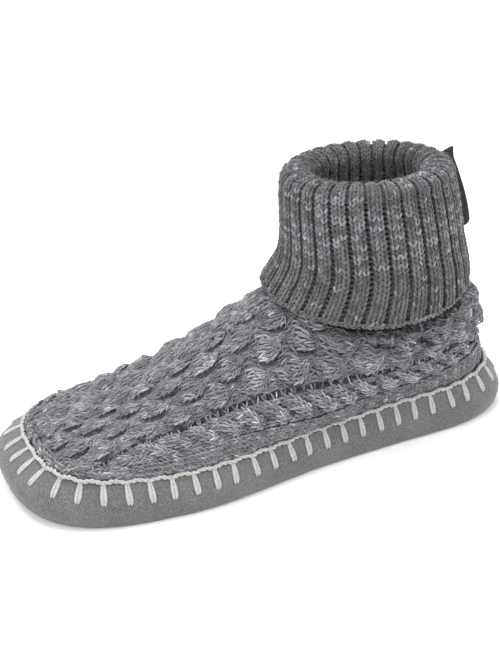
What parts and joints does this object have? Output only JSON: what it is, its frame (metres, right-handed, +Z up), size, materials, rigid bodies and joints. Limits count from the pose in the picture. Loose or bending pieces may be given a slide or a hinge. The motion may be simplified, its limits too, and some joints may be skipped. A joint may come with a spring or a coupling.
{
  "type": "slipper sock",
  "caption": "Knitted slipper sock for the left foot: a cable-knit foot sewn into a suede cup sole, with a ribbed cuff turned down at the ankle.",
  "frame": {"origin": "on the floor, under the middle of the sole's length and width", "axes": "+X to the toe, +Y to the wearer's left, +Z up"},
  "size_m": [0.25, 0.1005, 0.132],
  "materials": {
    "suede": "matt nap",
    "felt": "matt",
    "cable_knit": "fuzzy marled yarn",
    "rib_knit": "marled yarn",
    "woven_tape": "plain woven tape"
  },
  "bodies": {
    "root": {"sole": "suede", "insole": "felt", "upper": "cable_knit", "cuff": "rib_knit", "tab": "woven_tape"}
  },
  "joints": []
}
